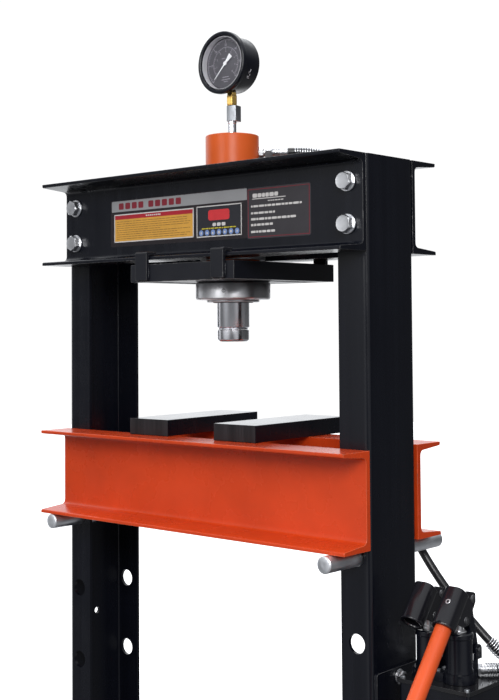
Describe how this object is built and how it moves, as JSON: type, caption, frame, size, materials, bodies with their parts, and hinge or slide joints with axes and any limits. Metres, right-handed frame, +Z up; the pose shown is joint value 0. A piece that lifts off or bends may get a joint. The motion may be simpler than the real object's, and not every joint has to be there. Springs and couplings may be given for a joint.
{
  "type": "hydraulic shop press",
  "caption": "Floor-standing H-frame hydraulic press with a sliding ram, pressure gauge, pinned bed, heel blocks and a side-mounted hand pump",
  "frame": {"origin": "on the floor, under the middle of the press's bounding box without the hose", "axes": "+X to the operator's right along the bed, +Y away from the operator, +Z up"},
  "size_m": [0.9429, 0.68, 1.802],
  "materials": {
    "frame_paint": "gloss black enamel with slight orange peel",
    "bed_paint": "gloss orange enamel, worn at the edges",
    "block_paint": "gloss black paint on ground steel plate",
    "zinc": "bright zinc plating",
    "chrome": "hard chrome, polished",
    "steel": "turned steel",
    "spring_steel": "oiled spring wire",
    "brass": "machined brass",
    "bronze": "machined bronze",
    "gauge_black": "satin black",
    "gauge_glass": "clear",
    "dial": "matt dark grey dial plate",
    "needle_white": "matt white",
    "knob_black": "moulded black knob",
    "hose_rubber": "smooth black hose cover",
    "seal_rubber": "oiled rubber"
  },
  "bodies": {
    "frame": {"right_upright": "frame_paint", "left_upright": "frame_paint", "rear_head_channel": "frame_paint", "front_head_channel": "frame_paint", "head_bolt_left_lower": "zinc", "head_bolt_left_upper": "zinc", "head_bolt_right_lower": "zinc", "head_bolt_right_upper": "zinc", "left_foot": "frame_paint", "left_rear_brace": "frame_paint", "left_front_brace": "frame_paint", "right_foot": "frame_paint", "right_rear_brace": "frame_paint", "right_front_brace": "frame_paint", "lower_crossbeam": "frame_paint", "pump_bracket": "frame_paint", "bracket_bolt_upper": "zinc", "bracket_bolt_lower": "zinc", "oil_tank": "frame_paint", "tank_cover": "frame_paint", "pump_body": "frame_paint", "pump_outlet": "zinc", "hydraulic_hose": "hose_rubber"},
    "carriage": {"ram_carriage": "frame_paint", "ram_cylinder": "bed_paint", "ring_nut": "steel", "lock_ring": "steel", "rod_guide": "bronze", "return_spring": "spring_steel", "ram_fitting": "zinc", "gauge_pipe": "chrome", "gauge_adapter": "zinc", "gauge_stem": "brass", "gauge_case": "gauge_black", "gauge_bezel": "gauge_black", "gauge_lens": "gauge_glass", "gauge_dial": "dial", "gauge_movement": "brass"},
    "ram": {"ram_rod": "chrome", "rod_nose": "chrome", "piston_seal": "seal_rubber"},
    "needle": {"gauge_needle": "needle_white"},
    "bed": {"rear_bed_channel": "bed_paint", "front_bed_channel": "bed_paint", "bed_spacer_left": "bed_paint", "bed_spacer_right": "bed_paint"},
    "left_pin": {"left_support_pin": "chrome"},
    "right_pin": {"right_support_pin": "chrome"},
    "left_block": {"left_heel_block": "block_paint"},
    "right_block": {"right_heel_block": "block_paint"},
    "left_link": {"left_link": "frame_paint"},
    "right_link": {"right_link": "frame_paint"},
    "left_socket": {"left_handle_socket": "frame_paint"},
    "right_socket": {"right_handle_socket": "frame_paint"},
    "left_pump_plunger": {"left_plunger": "steel"},
    "right_pump_plunger": {"right_plunger": "steel"},
    "handle": {"pump_handle": "bed_paint"},
    "valve": {"release_valve": "knob_black"},
    "filler": {"filler_plug": "zinc"}
  },
  "joints": [
    {"name": "carriage_slide", "type": "slide", "parent": "frame", "child": "carriage", "axis": [1, 0, 0], "range_m": [-0.15, 0.15]},
    {"name": "ram_stroke", "type": "slide", "parent": "carriage", "child": "ram", "axis": [0, 0, -1], "range_m": [0, 0.15], "stiffness_N_per_m": 300, "springref_m": -0.4, "deforming": ["return_spring"]},
    {"name": "gauge_needle_turn", "type": "hinge", "parent": "carriage", "child": "needle", "pos_m": [-0.0645, 0, 1.7442], "axis": [0, 1, 0], "range_deg": [0, 270], "stiffness_Nm_per_rad": 0.002},
    {"name": "bed_lift", "type": "slide", "parent": "frame", "child": "bed", "axis": [0, 0, 1], "range_m": [0, 0.1]},
    {"name": "left_pin_slide", "type": "slide", "parent": "frame", "child": "left_pin", "axis": [0, -1, 0], "range_m": [0, 0.23]},
    {"name": "right_pin_slide", "type": "slide", "parent": "frame", "child": "right_pin", "axis": [0, -1, 0], "range_m": [0, 0.23]},
    {"name": "left_block_slide", "type": "slide", "parent": "bed", "child": "left_block", "axis": [1, 0, 0], "range_m": [-0.1, 0.05]},
    {"name": "right_block_slide", "type": "slide", "parent": "bed", "child": "right_block", "axis": [-1, 0, 0], "range_m": [-0.07, 0.05]},
    {"name": "left_socket_swing", "type": "hinge", "parent": "left_link", "child": "left_socket", "pos_m": [0.3545, 0.02, 0.826], "axis": [-1, 0, 0], "range_deg": [0, 33.3]},
    {"name": "left_link_swing", "type": "hinge", "parent": "frame", "child": "left_link", "pos_m": [0.3545, 0.04, 0.742], "axis": [-1, 0, 0], "range_deg": [0, 12]},
    {"name": "left_plunger_slide", "type": "slide", "parent": "frame", "child": "left_pump_plunger", "axis": [0, 0, 1], "range_m": [0, 0.0255]},
    {"name": "right_socket_swing", "type": "hinge", "parent": "right_link", "child": "right_socket", "pos_m": [0.4125, 0.02, 0.826], "axis": [-1, 0, 0], "range_deg": [0, 33.3]},
    {"name": "right_link_swing", "type": "hinge", "parent": "frame", "child": "right_link", "pos_m": [0.4125, 0.04, 0.742], "axis": [-1, 0, 0], "range_deg": [0, 12]},
    {"name": "right_plunger_slide", "type": "slide", "parent": "frame", "child": "right_pump_plunger", "axis": [0, 0, 1], "range_m": [0, 0.0255]},
    {"name": "handle_draw", "type": "slide", "parent": "right_socket", "child": "handle", "axis": [0, -0.6428, -0.766], "range_m": [0, 0.06]},
    {"name": "valve_turn", "type": "hinge", "parent": "frame", "child": "valve", "pos_m": [0.3705, 0.058, 0.713], "axis": [0, 1, 0], "range_deg": [0, 180]},
    {"name": "filler_turn", "type": "hinge", "parent": "frame", "child": "filler", "pos_m": [0.3445, 0.09, 0.7], "axis": [0, 0, 1], "range_deg": [0, 360]}
  ],
  "couplings": [
    {"joint": "left_link_swing", "follows": "left_socket_swing", "ratio": 0.3514},
    {"joint": "left_plunger_slide", "follows": "left_socket_swing", "m_per_rad": 0.043},
    {"joint": "right_link_swing", "follows": "right_socket_swing", "ratio": 0.3514},
    {"joint": "right_plunger_slide", "follows": "right_socket_swing", "m_per_rad": 0.043}
  ]
}
